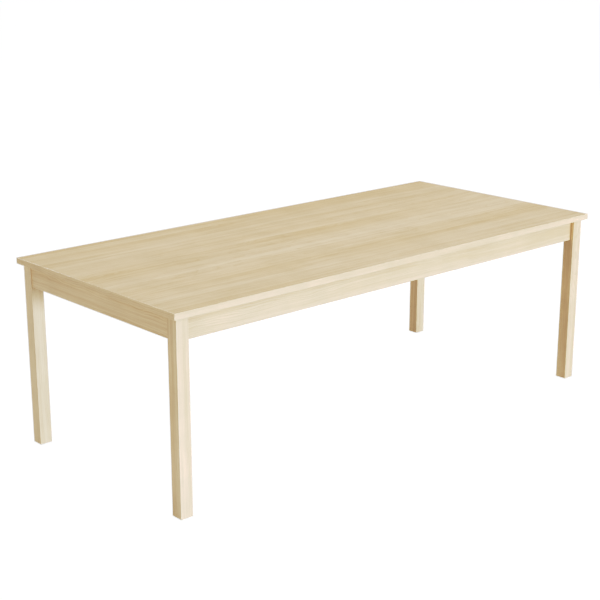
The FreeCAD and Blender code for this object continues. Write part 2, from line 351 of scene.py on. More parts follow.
class Effects:
    """The shared effects, each one a shader node group that is built once."""

    def __init__(self) -> None:
        """Builds every group."""
        self.figure = self._figure()
        self.arris = self._arris()
        self.leaves = self._leaves()
        self.scuffs = self._scuffs()

    @staticmethod
    def _figure() -> bpy.types.NodeTree:
        """The figure of birch: streaks, growth lines, fibres, pores and silk.

        Returns:
            The node group.
        """
        inputs = {
            "Vector": (0.0, 0.0, 0.0),
            "Streaks": 1.0,
            "Lines": 0.5,
            "Fibres": 0.3,
            "Pores": 0.3,
            "Ring Width": 0.004,
        }
        outputs = {"Tone": "Float", "Silk": "Float", "Height": "Float"}
        group, tree, start = new_group("birch_figure", inputs, outputs)
        place = start.outputs["Vector"]

        drift = tree.noise(place, (1.2, 5.0, 5.0), 2.0)
        ripple = tree.noise(place, (6.0, 20.0, 20.0), 2.0)
        sway = tree.math("MULTIPLY", tree.math("SUBTRACT", drift, 0.5), 0.040)
        sway = tree.math("MULTIPLY_ADD", tree.math("SUBTRACT", ripple, 0.5), 0.009, sway)
        shift = tree.add("CombineXYZ", {"Y": sway, "Z": sway}).outputs[0]
        bent = tree.vector("ADD", place, shift)

        broad = tree.spread(tree.noise(bent, (0.5, 11.0, 11.0), 1.0), 0.30, 0.70)
        narrow = tree.spread(tree.noise(bent, (0.9, 60.0, 60.0), 2.0, 0.6), 0.32, 0.68)
        fine = tree.spread(tree.noise(bent, (2.6, 190.0, 190.0), 2.0, 0.6), 0.30, 0.70)
        streaks = tree.math("MULTIPLY_ADD", narrow, 0.38, tree.math("MULTIPLY", broad, 0.34))
        streaks = tree.math("MULTIPLY_ADD", fine, 0.28, streaks)

        across = tree.add("SeparateXYZ", {"Vector": bent}).outputs
        depth = tree.math("ADD", across[2], 0.085)
        pith = tree.add("CombineXYZ", {"Y": across[1], "Z": depth}).outputs[0]
        length = tree.add("VectorMath", operation="LENGTH")
        tree.put(length.inputs[0], pith)
        rings = tree.math("DIVIDE", length.outputs["Value"], start.outputs["Ring Width"])
        phase = tree.math("FRACT", tree.math("MULTIPLY_ADD", ripple, 2.6, rings))
        edge = tree.math("POWER", phase, 4.0)
        swell = tree.spread(tree.noise(bent, (1.4, 30.0, 30.0), 2.0), 0.38, 0.64)
        lines = tree.math("MULTIPLY", edge, swell)

        fibres = tree.noise(bent, (16.0, 700.0, 700.0), 2.0, 0.6)
        dashes = tree.spread(tree.noise(bent, (75.0, 1900.0, 1900.0), 0.0), 0.64, 0.74)
        silk = tree.noise(bent, (9.0, 5.0, 5.0), 2.0)

        tone = tree.math("MULTIPLY", tree.math("SUBTRACT", streaks, 0.5), start.outputs["Streaks"])
        tone = tree.math("MULTIPLY_ADD", lines, start.outputs["Lines"], tone)
        hairs = tree.math("MULTIPLY", tree.math("SUBTRACT", fibres, 0.5), start.outputs["Fibres"])
        tone = tree.math("ADD", tone, hairs)
        tone = tree.math("MULTIPLY_ADD", dashes, start.outputs["Pores"], tone)
        height = tree.math("MULTIPLY_ADD", dashes, -0.6, tree.math("MULTIPLY_ADD", edge, 0.25, fibres))
        close_group(tree, {"Tone": tone, "Silk": silk, "Height": height})
        return group

    @staticmethod
    def _arris() -> bpy.types.NodeTree:
        """A mask along the arrises of a squared piece, broken up by handling, for worn edges and the
        painted highlight on them.

        Returns:
            The node group.
        """
        inputs = {
            "Vector": (0.0, 0.0, 0.0),
            "Centre": (0.0, 0.0, 0.0),
            "Half Size": (1.0, 1.0, 1.0),
            "Width": 0.002,
        }
        group, tree, start = new_group("arris_wear_and_highlight", inputs, {"Mask": "Float"})
        place = start.outputs["Vector"]
        away = tree.vector("ABSOLUTE", tree.vector("SUBTRACT", place, start.outputs["Centre"]))
        depth = tree.vector("SUBTRACT", start.outputs["Half Size"], away)
        x, y, z = tree.add("SeparateXYZ", {"Vector": depth}).outputs
        least = tree.math("MINIMUM", tree.math("MINIMUM", x, y), z)
        most = tree.math("MAXIMUM", tree.math("MAXIMUM", x, y), z)
        total = tree.math("ADD", tree.math("ADD", x, y), z)
        second = tree.math("SUBTRACT", tree.math("SUBTRACT", total, least), most)
        ragged = tree.noise(place, (38.0, 38.0, 38.0), 3.0, 0.6)
        reach = tree.math("MULTIPLY", start.outputs["Width"], tree.spread(ragged, 0.3, 0.7, 0.55, 1.35))
        share = tree.math("DIVIDE", second, reach)
        close_group(tree, {"Mask": tree.spread(share, 0.35, 1.0, 1.0, 0.0)})
        return group

    @staticmethod
    def _leaves() -> bpy.types.NodeTree:
        """The long streaks of the top's veneer leaves, laid side by side across the width.

        Returns:
            The node group.
        """
        inputs = {"Vector": (0.0, 0.0, 0.0), "Width": 0.8, "Strength": 1.0}
        group, tree, start = new_group("veneer_leaves", inputs, {"Tone": "Float"})
        place = start.outputs["Vector"]
        slow = tree.noise(place, (0.9, 3.0, 3.0), 1.0)
        quick = tree.noise(place, (3.2, 14.0, 14.0), 2.0)
        bend = tree.math("MULTIPLY", tree.math("SUBTRACT", slow, 0.5), 0.030)
        bend = tree.math("MULTIPLY_ADD", tree.math("SUBTRACT", quick, 0.5), 0.012, bend)
        across = tree.add("SeparateXYZ", {"Vector": place}).outputs[1]
        share = tree.math("DIVIDE", tree.math("ADD", across, bend), start.outputs["Width"])
        ramp = tree.add("ValToRGB", {"Fac": tree.math("ADD", share, 0.5)})
        ramp.color_ramp.interpolation = "B_SPLINE"
        stops = ramp.color_ramp.elements
        stops[0].position, stops[1].position = 0.0, 1.0
        for stop in stops:
            stop.color = (0.5, 0.5, 0.5, 1.0)
        for streak in VENEER_STREAKS:
            tone = 0.5 + streak.tone / 2
            stops.new(streak.place).color = (tone, tone, tone, 1.0)
        fade = tree.spread(tree.noise(place, (1.6, 16.0, 16.0), 2.0), 0.32, 0.62, 0.35, 1.15)
        tone = tree.math("MULTIPLY", tree.math("SUBTRACT", ramp.outputs[0], 0.5), fade)
        close_group(tree, {"Tone": tree.math("MULTIPLY", tone, start.outputs["Strength"])})
        return group

    @staticmethod
    def _scuffs() -> bpy.types.NodeTree:
        """Faint rubs and wipe marks in a lacquered surface.

        Returns:
            The node group.
        """
        inputs = {"Vector": (0.0, 0.0, 0.0), "Amount": 1.0}
        group, tree, start = new_group("lacquer_scuffs", inputs, {"Haze": "Float"})
        place = start.outputs["Vector"]
        wiped = tree.noise(place, (3.0, 4.5, 4.5), 3.0, 0.55)
        rubbed = tree.spread(tree.noise(place, (26.0, 60.0, 60.0), 4.0, 0.7), 0.52, 0.72)
        haze = tree.math("MULTIPLY_ADD", rubbed, 0.35, tree.math("SUBTRACT", wiped, 0.5))
        close_group(tree, {"Haze": tree.math("MULTIPLY", haze, start.outputs["Amount"])})
        return group


@dataclass(frozen=True)
class Streak:
    """One long streak of a veneer leaf: its share of the width from the front, and its tone.

    A tone of 1 is darkest and -1 palest.
    """

    place: float
    tone: float


VENEER_STREAKS = (
    Streak(0.03, -0.35),
    Streak(0.09, 0.45),
    Streak(0.13, -0.45),
    Streak(0.17, -0.40),
    Streak(0.20, 0.60),
    Streak(0.23, -0.10),
    Streak(0.26, 0.55),
    Streak(0.30, -0.35),
    Streak(0.38, -0.50),
    Streak(0.47, -0.35),
    Streak(0.51, 0.50),
    Streak(0.56, 1.00),
    Streak(0.60, -0.45),
    Streak(0.66, 0.50),
    Streak(0.71, -0.40),
    Streak(0.78, 0.45),
    Streak(0.835, -0.65),
    Streak(0.88, 0.50),
    Streak(0.95, 0.40),
)


# ------------------------------------------------------------------ finishes


@dataclass(frozen=True)
class TimberFinish:
    """Clear-lacquered birch, or another pale wood, as one board of it shows.

    The colours are linear. The tone runs from 0, all pale, to 1, all deep. Streaks, lines, fibres
    and pores are strengths in it.
    """

    name: str
    slot: str
    grain: Grain
    pale: Colour
    deep: Colour
    streaks: float = 1.1
    lines: float = 0.6
    fibres: float = 0.6
    pores: float = 0.25
    tone: float = 0.42
    ring_width: float = 3.4 * MM
    roughness: float = 0.46
    specular: float = 0.35
    # Lighter than the wood: worn arrises, and a painted highlight where the rounded edges catch the
    # light.
    worn_highlight: Colour = (0.88, 0.76, 0.57)
    wear_and_highlight: float = 0.4
    wear_and_highlight_width: float = 2.0 * MM
    leaves: float = 0.0
    scuffs: float = 0.14
    relief: Relief = Relief(0.18, 0.12 * MM)

    def material(
        self,
        effects: Effects,
        piece: str,
        low: Vector,
        high: Vector,
        turn: int,
        grain: Grain | None = None,
    ) -> bpy.types.Material:
        """Makes the material of one board.

        Args:
            effects: The shared node groups.
            piece: The piece's name, which the material's name carries.
            low: The lowest corner of the board.
            high: The highest corner of the board.
            turn: A number that gives each board its own stretch of figure.
            grain: The way that the fibres run, if it isn't the finish's own.

        Returns:
            The material.
        """
        grain = grain or self.grain
        material, tree = blank_material(f"{self.name}_{piece}")
        place = tree.add("TexCoord").outputs["Object"]
        offset = [step * turn + start for step, start in zip(BOARD_STEP, BOARD_START)]
        inputs = {"Vector": place, "Rotation": grain.turn(), "Location": offset}
        turned = tree.add("Mapping", inputs).outputs[0]
        settings = {
            "Vector": turned,
            "Streaks": self.streaks,
            "Lines": self.lines,
            "Fibres": self.fibres,
            "Pores": self.pores,
            "Ring Width": self.ring_width,
        }
        figure = tree.add("Group", settings, node_tree=effects.figure)
        tone = tree.math("ADD", figure.outputs["Tone"], self.tone, clamp=True)
        if self.leaves:
            settings = {"Vector": place, "Width": high.y - low.y, "Strength": self.leaves}
            leaf = tree.add("Group", settings, node_tree=effects.leaves)
            tone = tree.math("ADD", tone, leaf.outputs["Tone"], clamp=True)
        colour = tree.mix(tone, (*self.pale, 1.0), (*self.deep, 1.0))
        silk = tree.spread(figure.outputs["Silk"], 0.25, 0.75, 0.965, 1.035)
        shade = tree.add("CombineColor", {"Red": silk, "Green": silk, "Blue": silk}).outputs[0]
        colour = tree.mix(1.0, colour, shade, "MULTIPLY")

        settings = {
            "Vector": place,
            "Centre": (low + high) / 2,
            "Half Size": (high - low) / 2,
            "Width": self.wear_and_highlight_width,
        }
        arris = tree.add("Group", settings, node_tree=effects.arris)
        # Arrises lightened towards the worn colour: real wear, and a painted highlight of the light that
        # they catch.
        rubbed = tree.math("MULTIPLY", arris.outputs["Mask"], self.wear_and_highlight)
        colour = tree.mix(rubbed, colour, (*self.worn_highlight, 1.0))

        scuffs = tree.add("Group", {"Vector": turned, "Amount": self.scuffs}, node_tree=effects.scuffs)
        rough = tree.math("ADD", scuffs.outputs["Haze"], self.roughness)
        rough = tree.math("MULTIPLY_ADD", tone, 0.05, rough)
        rough = tree.math("MULTIPLY_ADD", rubbed, -0.06, rough, clamp=True)
        shader = self.relief.close(tree, colour, rough, figure.outputs["Height"])
        shader.inputs["Specular IOR Level"].default_value = self.specular
        return material


@dataclass(frozen=True)
class MetalFinish:
    """Zinc-plated steel: crystalline plate, duller and rougher in random clouds."""

    name: str
    slot: str
    tint: Colour
    dull: Colour
    roughness: float = 0.32
    crystals: float = 900.0
    relief: Relief = Relief(0.12, 0.05 * MM)

    def material(self) -> bpy.types.Material:
        """Makes the material.

        Returns:
            The material.
        """
        material, tree = blank_material(self.name)
        place = tree.add("TexCoord").outputs["Object"]
        grains = tree.add("TexVoronoi", {"Vector": place, "Scale": self.crystals, "Randomness": 1.0})
        cloud = tree.noise(place, (160.0, 160.0, 160.0), 3.0, 0.6)
        speck = tree.noise(place, (1400.0, 1400.0, 1400.0), 1.0)
        blend = tree.math("MULTIPLY", cloud, 0.75)
        blend = tree.math("MULTIPLY_ADD", grains.outputs["Distance"], 0.35, blend, clamp=True)
        colour = tree.mix(blend, (*self.tint, 1.0), (*self.dull, 1.0))
        rough = tree.math("MULTIPLY_ADD", cloud, 0.22, self.roughness - 0.11, clamp=True)
        shader = self.relief.close(tree, colour, rough, speck)
        shader.inputs["Metallic"].default_value = 1.0
        return material


@dataclass(frozen=True)
class GlideFinish:
    """Moulded off-white polyethylene, scratched and grey where it slides on the floor."""

    name: str = "glide_polyethylene"
    slot: str = "glide_plastic"
    clean: Colour = (0.78, 0.76, 0.70)
    dirty: Colour = (0.42, 0.40, 0.36)
    cloud_shade: float = 0.94
    dirt_height: float = 1.4 * MM
    relief: Relief = Relief(0.2, 0.08 * MM)

    def material(self, sole: float) -> bpy.types.Material:
        """Makes the material.

        Args:
            sole: The height of the glide's sliding face.

        Returns:
            The material.
        """
        material, tree = blank_material(self.name)
        place = tree.add("TexCoord").outputs["Object"]
        height = tree.add("SeparateXYZ", {"Vector": place}).outputs[2]
        low = tree.spread(height, sole, sole + self.dirt_height, 1.0, 0.0)
        scratch = tree.spread(tree.noise(place, (500.0, 1500.0, 500.0), 3.0, 0.6), 0.48, 0.78)
        dirt = tree.math("MULTIPLY", low, tree.math("MULTIPLY_ADD", scratch, 0.35, 0.25), clamp=True)
        cloud = tree.spread(tree.noise(place, (220.0, 220.0, 220.0), 2.0), 0.3, 0.7)
        base = tree.mix(cloud, (*self.clean, 1.0), (*(c * self.cloud_shade for c in self.clean), 1.0))
        colour = tree.mix(dirt, base, (*self.dirty, 1.0))
        rough = tree.math("MULTIPLY_ADD", dirt, 0.3, 0.42)
        self.relief.close(tree, colour, rough, scratch)
        return material


@dataclass(frozen=True)
class BoardFinish:
    """Chipboard: pale and dark chips pressed together with glue."""

    name: str = "pressed_chips"
    pale: Colour = (0.52, 0.39, 0.24)
    dark: Colour = (0.25, 0.16, 0.09)
    relief: Relief = Relief(0.4, 0.2 * MM)

    def material(self) -> bpy.types.Material:
        """Makes the material.

        Returns:
            The material.
        """
        material, tree = blank_material(self.name)
        place = tree.add("TexCoord").outputs["Object"]
        flat = tree.vector("MULTIPLY", place, (120.0, 120.0, 900.0))
        chips = tree.add("TexVoronoi", {"Vector": flat, "Scale": 1.0, "Randomness": 1.0})
        shade = tree.add("SeparateColor", {"Color": chips.outputs["Color"]}).outputs[0]
        flecks = tree.spread(tree.noise(place, (400.0, 400.0, 1500.0), 2.0), 0.60, 0.70)
        tone = tree.math("MULTIPLY_ADD", flecks, 0.5, tree.math("MULTIPLY", shade, 0.6), clamp=True)
        colour = tree.mix(tone, (*self.pale, 1.0), (*self.dark, 1.0))
        rough = tree.math("MULTIPLY_ADD", shade, 0.1, 0.78)
        self.relief.close(tree, colour, rough, shade)
        return material


BIRCH_PALE: Colour = (0.79, 0.645, 0.455)
BIRCH_DEEP: Colour = (0.62, 0.462, 0.287)
FACE_VENEER = TimberFinish(
    "birch_face_veneer", "birch_veneer", Grain.LENGTHWISE, BIRCH_PALE, BIRCH_DEEP,
    streaks=0.95, lines=0.38, fibres=0.8, wear_and_highlight=0.0, leaves=0.75,
)
BACKING_VENEER = TimberFinish(
    "backing_veneer", "backing_veneer", Grain.LENGTHWISE, (0.72, 0.60, 0.40), (0.54, 0.41, 0.24),
    roughness=0.62, wear_and_highlight=0.0, lines=0.5,
)
LIPPING_ALONG = TimberFinish(
    "birch_lipping", "birch_lipping", Grain.LENGTHWISE, BIRCH_PALE, BIRCH_DEEP,
    streaks=0.6, tone=0.48, wear_and_highlight=0.1,
)
LIPPING_ACROSS = replace(LIPPING_ALONG, grain=Grain.CROSSWISE, tone=0.14)
RAIL_ALONG = TimberFinish("birch_rail", "birch_rail", Grain.LENGTHWISE, BIRCH_PALE, BIRCH_DEEP)
RAIL_ACROSS = replace(RAIL_ALONG, grain=Grain.CROSSWISE, tone=0.32)
LEG_UPRIGHT = TimberFinish("birch_leg", "birch_leg", Grain.UPRIGHT, BIRCH_PALE, BIRCH_DEEP)
BLOCK_BEECH = TimberFinish(
    "beech_block", "beech_block", Grain.RISING, (0.60, 0.40, 0.25), (0.44, 0.27, 0.15),
    roughness=0.68, wear_and_highlight=0.0, pores=0.6, fibres=0.8,
)
DOWEL_BEECH = replace(BLOCK_BEECH, name="beech_dowel", grain=Grain.LENGTHWISE, fibres=0.6)
BRIGHT_ZINC = MetalFinish("bright_zinc", "zinc_steel", (0.66, 0.68, 0.71), (0.44, 0.46, 0.49))
YELLOW_ZINC = MetalFinish("yellow_zinc", "yellow_zinc", (0.76, 0.61, 0.28), (0.52, 0.44, 0.34))
GLIDE_PLASTIC = GlideFinish()
PRESSED_CHIPS = BoardFinish()


# -------------------------------------------------------------------- meshes


def squared_bmesh(low: Vector, high: Vector) -> bmesh.types.BMesh:
    """A box between two corners.

    Args:
        low: The lowest corner.
        high: The highest corner.

    Returns:
        The bmesh.
    """
    made = bmesh.new()
    bmesh.ops.create_cube(made, size=1.0)
    bmesh.ops.scale(made, vec=high - low, verts=made.verts)
    bmesh.ops.translate(made, vec=(low + high) / 2, verts=made.verts)
    return made


def round_off(
    made: bmesh.types.BMesh, picked: list[bmesh.types.BMEdge], offset: float, segments: int
) -> list[bmesh.types.BMFace]:
    """Rounds edges of a bmesh.

    Args:
        made: The bmesh.
        picked: The edges.
        offset: The width of the rounding.
        segments: Faces across the rounding.

    Returns:
        The new faces.
    """
    return bmesh.ops.bevel(
        made, geom=picked, offset=offset, offset_type="OFFSET", segments=segments,
        profile=0.5, affect="EDGES", material=-1, clamp_overlap=True,
    )["faces"]


def ease(
    made: bmesh.types.BMesh,
    wanted: Callable[[Vector, Vector], bool],
    offset: float,
    segments: int = 4,
) -> None:
    """Rounds the edges that a test picks, and shades the new strips smooth.

    Args:
        made: The bmesh.
        wanted: A test of an edge's middle and its direction.
        offset: The radius of the rounding.
        segments: Faces across the rounding.
    """
    picked = []
    for edge in made.edges:
        first, second = (v.co for v in edge.verts)
        if wanted((first + second) / 2, (second - first).normalized()):
            picked.append(edge)
    for face in round_off(made, picked, offset, segments):
        face.smooth = True


def runs(direction: Vector, axis: int) -> bool:
    """Whether a direction lies along one axis."""
    return abs(direction[axis]) > 0.999


def at(value: float, level: float) -> bool:
    """Whether a value is at a level, within a hundredth of a millimetre."""
    return abs(value - level) < LEVEL_GAP


def to_mesh(made: bmesh.types.BMesh, name: str) -> bpy.types.Mesh:
    """Turns a bmesh into a mesh.

    Args:
        made: The bmesh, which is freed.
        name: The mesh's name.

    Returns:
        The mesh.
    """
    mesh = bpy.data.meshes.new(name)
    made.to_mesh(mesh)
    made.free()
    return mesh


def to_object(made: bmesh.types.BMesh, name: str) -> bpy.types.Object:
    """Turns a bmesh into an object in the scene.

    Args:
        made: The bmesh, which is freed.
        name: The object's name.

    Returns:
        The object, at the origin.
    """
    piece = bpy.data.objects.new(name, to_mesh(made, name))
    bpy.context.scene.collection.objects.link(piece)
    return piece


def joined(*meshes: bpy.types.Mesh) -> bmesh.types.BMesh:
    """One bmesh that holds several meshes.

    Args:
        *meshes: The meshes.

    Returns:
        The bmesh.
    """
    made = bmesh.new()
    for mesh in meshes:
        made.from_mesh(mesh)
    return made


def carve(
    piece: bpy.types.Object, cutters: list[bpy.types.Object], operation: str = "DIFFERENCE"
) -> None:
    """Cuts other objects out of a piece, or keeps what they share, and removes them.

    Args:
        piece: The piece to change.
        cutters: The objects to cut with.
        operation: The Boolean modifier's operation.
    """
    for cutter in cutters:
        tool = piece.modifiers.new("carve", "BOOLEAN")
        tool.object, tool.operation, tool.solver = cutter, operation, "EXACT"
    depsgraph = bpy.context.evaluated_depsgraph_get()
    carved = bpy.data.meshes.new_from_object(piece.evaluated_get(depsgraph))
    piece.modifiers.clear()
    made = joined(carved)
    bmesh.ops.remove_doubles(made, verts=made.verts, dist=CARVED_GAP)
    made.to_mesh(carved)
    made.free()
    piece.data = carved
    for cutter in cutters:
        bpy.data.objects.remove(cutter)


def settle(piece: bpy.types.Object, material: bpy.types.Material, node: str) -> None:
    """Gives a piece its material and its body, and hides the CAD node that it stands for.

    Args:
        piece: The piece.
        material: The material.
        node: The CAD node that the piece replaces.
    """
    piece.data.materials.clear()
    piece.data.materials.append(material)
    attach(piece, BODY)
    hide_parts(node)
    LOG.info("built %s: %d faces", piece.name, len(piece.data.polygons))


def dress(node: str, material: bpy.types.Material) -> None:
    """Gives a CAD node that stays a better material.

    Args:
        node: The node's name.
        material: The material.
    """
    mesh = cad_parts[node].data
    mesh.materials.clear()
    mesh.materials.append(material)
    LOG.info("dressed %s", node)


def merged_copy(node: str) -> bmesh.types.BMesh:
    """A copy of a CAD node's mesh with its loose triangles joined.

    Args:
        node: The node's name.

    Returns:
        The bmesh.
    """
    made = joined(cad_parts[node].data)
    bmesh.ops.remove_doubles(made, verts=made.verts, dist=WELD_GAP)
    return made


def solids(node: str) -> list[tuple[Vector, Vector]]:
    """The boxes of a node's separate solids.

    Args:
        node: The node's name.

    Returns:
        The lowest and highest corner of each solid, in the order of their places.
    """
    made = merged_copy(node)
    left = set(made.verts)
    boxes = []
    while left:
        queue = [left.pop()]
        island = list(queue)
        while queue:
            for edge in queue.pop().link_edges:
                for vert in edge.verts:
                    if vert in left:
                        left.remove(vert)
                        queue.append(vert)
                        island.append(vert)
        low = Vector(tuple(min(v.co[i] for v in island) for i in range(3)))
        high = Vector(tuple(max(v.co[i] for v in island) for i in range(3)))
        boxes.append((low, high))
    made.free()
    return sorted(boxes, key=lambda b: tuple(round(c, 5) for c in b[0]))


def swept(outline: Outline, steps: int, closed: bool = False) -> bmesh.types.BMesh:
    """An outline turned once about Z.

    Args:
        outline: Pairs of radius and height.
        steps: Faces round the axis.
        closed: Whether the outline's last point joins its first.

    Returns:
        The bmesh.
    """
    made = bmesh.new()
    verts = [made.verts.new((radius, 0, height)) for radius, height in outline]
    ends = verts[1:] + verts[:1] if closed else verts[1:]
    edges = [made.edges.new(pair) for pair in zip(verts, ends)]
    bmesh.ops.spin(
        made, geom=verts + edges, cent=(0, 0, 0), axis=(0, 0, 1), dvec=(0, 0, 0),
        angle=math.tau, steps=steps, use_merge=True,
    )
    return made


def turned_bmesh(outline: Outline, steps: int) -> bmesh.types.BMesh:
    """A solid of revolution about Z.

    Args:
        outline: Pairs of radius and height. The first and last are closed onto the axis.
        steps: Faces round the axis.

    Returns:
        The bmesh, with its faces outwards and its roundings smooth.
    """
    made = swept(outline, steps)
    bmesh.ops.remove_doubles(made, verts=made.verts, dist=TURNED_GAP)
    bmesh.ops.holes_fill(made, edges=[e for e in made.edges if e.is_boundary], sides=0)
    bmesh.ops.recalc_face_normals(made, faces=made.faces)
    for face in made.faces:
        face.smooth = len(face.verts) <= 4
    for edge in made.edges:
        edge.smooth = len(edge.link_faces) == 2 and edge.calc_face_angle(0) < EDGE_TURN
    return made


def refined_copy(node: str, radius: float, shortest: float) -> bmesh.types.BMesh:
    """A copy of a CAD node with whole faces and softened arrises.

    Args:
        node: The node's name.
        radius: The width of the softening.
        shortest: The length of the shortest edge that is softened.

    Returns:
        The bmesh, with its curved faces smooth.
    """
    made = merged_copy(node)
    bmesh.ops.dissolve_limit(made, angle_limit=FLAT_TURN, verts=made.verts, edges=made.edges)
    picked = []
    for edge in made.edges:
        sharp = len(edge.link_faces) == 2 and edge.calc_face_angle(0) > EDGE_TURN
        if sharp and edge.calc_length() > shortest:
            picked.append(edge)
    round_off(made, picked, radius, 2)
    smooth_curves(made)
    return made


def smooth_curves(made: bmesh.types.BMesh) -> None:
    """Shades a bmesh smooth, apart from its sharp edges."""
    for face in made.faces:
        face.smooth = True
    for edge in made.edges:
        edge.smooth = len(edge.link_faces) == 2 and edge.calc_face_angle(0) < EDGE_TURN


def gather(template: bpy.types.Mesh, places: list[Matrix]) -> bmesh.types.BMesh:
    """Several copies of one mesh.

    Args:
        template: The mesh.
        places: The transform of each copy.

    Returns:
        The bmesh that holds them all.
    """
    made = bmesh.new()
    for place in places:
        before = len(made.verts)
        made.from_mesh(template)
        made.verts.ensure_lookup_table()
        bmesh.ops.transform(made, matrix=place, verts=made.verts[before:])
    return made


def aimed(start: Vector, direction: Vector, spin: float = 0.0) -> Matrix:
    """The transform that moves a shape made along +Z to a start point and turns it along a direction.

    Args:
        start: Where its origin goes.
        direction: Where its +Z goes.
        spin: A turn about its own axis first, in degrees.

    Returns:
        The transform.
    """
    turn = direction.to_track_quat("Z", "Y").to_matrix().to_4x4()
    return Matrix.Translation(start) @ turn @ Matrix.Rotation(math.radians(spin), 4, "Z")


# -------------------------------------------------------------------- fixings


@dataclass(frozen=True)
class Thread:
    """A screw thread along +Z."""

    outer: float
    core: float
    pitch: float
    steps: int = 18

    def rod(self, start: float, end: float, point: float = 0.0, chamfer: float = 0.0) -> bpy.types.Mesh:
        """Makes a threaded rod.

        Args:
            start: The height of its first end.
            end: The height of its other end.
            point: How far the rod tapers to a point at its end.
            chamfer: The chamfer at its end.

        Returns:
            The mesh.
        """
        made = bmesh.new()
        outline = ((0.0, self.core), (0.40, self.outer), (0.55, self.outer), (1.0, self.core))
        level = start - 2 * self.pitch
        verts = [made.verts.new((radius, 0, level + share * self.pitch)) for share, radius in outline]
        edges = [made.edges.new(pair) for pair in zip(verts, verts[1:])]
        turns = math.ceil((end - start) / self.pitch) + 4
        bmesh.ops.spin(
            made, geom=verts + edges, cent=(0, 0, 0), axis=(0, 0, 1),
            dvec=(0, 0, self.pitch / self.steps), angle=turns * math.tau, steps=turns * self.steps,
        )
        bmesh.ops.remove_doubles(made, verts=made.verts, dist=WELD_GAP)
        for height, way in ((start, -1), (end, 1)):
            everything = made.verts[:] + made.edges[:] + made.faces[:]
            bmesh.ops.bisect_plane(
                made, geom=everything, plane_co=(0, 0, height), plane_no=(0, 0, way), clear_outer=True
            )
        bmesh.ops.remove_doubles(made, verts=made.verts, dist=WELD_GAP)
        bmesh.ops.holes_fill(made, edges=[e for e in made.edges if e.is_boundary], sides=0)
        for vert in made.verts:
            radius = vert.co.xy.length
            allowed = radius
            if point:
                allowed = radius * min(1.0, max((end - vert.co.z) / point, 0.06))
            if chamfer:
                allowed = min(allowed, self.outer - chamfer + (end - vert.co.z))
            vert.co.xy *= allowed / radius if radius else 1.0
        bmesh.ops.recalc_face_normals(made, faces=made.faces)
        smooth_curves(made)
        return to_mesh(made, "thread")


@dataclass(frozen=True)
class Screw:
    """A cross-recessed wood screw along +Z: its head's outline, its thread and its length."""

    head: tuple[tuple[float, float], ...]
    thread: Thread
    thread_start: float
    length: float
    recess_level: float
    recess_width: float = 4.2 * MM
    recess_slot: float = 0.85 * MM
    recess_depth: float = 1.9 * MM
    point: float = 4.0 * MM

    def mesh(self) -> bpy.types.Mesh:
        """Makes the screw.

        Returns:
            The mesh.
        """
        shank = self.length - self.point
        outline = list(self.head) + [(self.thread.core, shank), (0.0, self.length - 0.5 * MM)]
        body = to_object(turned_bmesh(outline, 28), "screw_body")
        carve(body, [self.blade(0.0), self.blade(90.0)])
        rod = self.thread.rod(self.thread_start, self.length, point=self.point)
        made = joined(body.data, rod)
        bpy.data.objects.remove(body)
        return to_mesh(made, "screw")

    def blade(self, turn: float) -> bpy.types.Object:
        """One tapered arm of the tool that presses the cross recess.

        Args:
            turn: Its turn about the screw's axis, in degrees.

        Returns:
            The cutter.
        """
        lift = 0.5 * MM
        size = Vector((self.recess_width, self.recess_slot, self.recess_depth + lift))
        made = squared_bmesh(-size / 2, size / 2)
        for vert in made.verts:
            if vert.co.z > 0:
                vert.co.x *= 0.45
                vert.co.y *= 0.7
        middle = Vector((0, 0, self.recess_level + (self.recess_depth - lift) / 2))
        place = Matrix.Translation(middle) @ Matrix.Rotation(math.radians(turn), 4, "Z")
        bmesh.ops.transform(made, matrix=place, verts=made.verts)
        return to_object(made, "recess_blade")


COUNTERSUNK = Screw(
    head=(
        (0.0, 0.0), (4.15 * MM, 0.0), (4.25 * MM, 0.15 * MM), (4.2 * MM, 0.35 * MM),
        (1.9 * MM, 2.7 * MM), (1.45 * MM, 3.4 * MM),
    ),
    thread=Thread(2.25 * MM, 1.45 * MM, 1.9 * MM),
    thread_start=5.0 * MM,
    length=25.0 * MM,
    recess_level=0.0,
)
PAN_RISE = 2.2 * MM
PAN_HEAD = Screw(
    head=(
        (0.0, -PAN_RISE), (1.5 * MM, -2.12 * MM), (2.5 * MM, -1.8 * MM), (3.15 * MM, -1.2 * MM),
        (3.45 * MM, -0.5 * MM), (3.5 * MM, 0.0), (1.75 * MM, 0.0), (1.3 * MM, 2.2 * MM),
        (1.15 * MM, 2.6 * MM),
    ),
    thread=Thread(1.75 * MM, 1.15 * MM, 1.35 * MM),
    thread_start=3.0 * MM,
    length=16.0 * MM,
    recess_level=-PAN_RISE,
    recess_width=3.8 * MM,
)


def drive(screw: Screw, node: str, name: str, finish: MetalFinish, seat: float) -> None:
    """Makes the screws of one CAD node, each with its head towards the middle of the table.

    Args:
        screw: The kind of screw.
        node: The CAD node's name.
        name: The new piece's name.
        finish: The screws' finish.
        seat: How far the screw's origin lies below the top of its head.
    """
    places = []
    for number, (low, high) in enumerate(solids(node)):
        size = high - low
        axis = max(range(3), key=lambda i: size[i])
        middle = (low + high) / 2
        way = Vector((0, 0, 0))
        way[axis] = 1.0 if axis == 2 or middle[axis] > 0 else -1.0
        start = middle - way * (size[axis] / 2 - seat)
        places.append(aimed(start, way, 37.0 * number))
    settle(to_object(gather(screw.mesh(), places), name), finish.material(), node)


# -------------------------------------------------------------- sub-assemblies


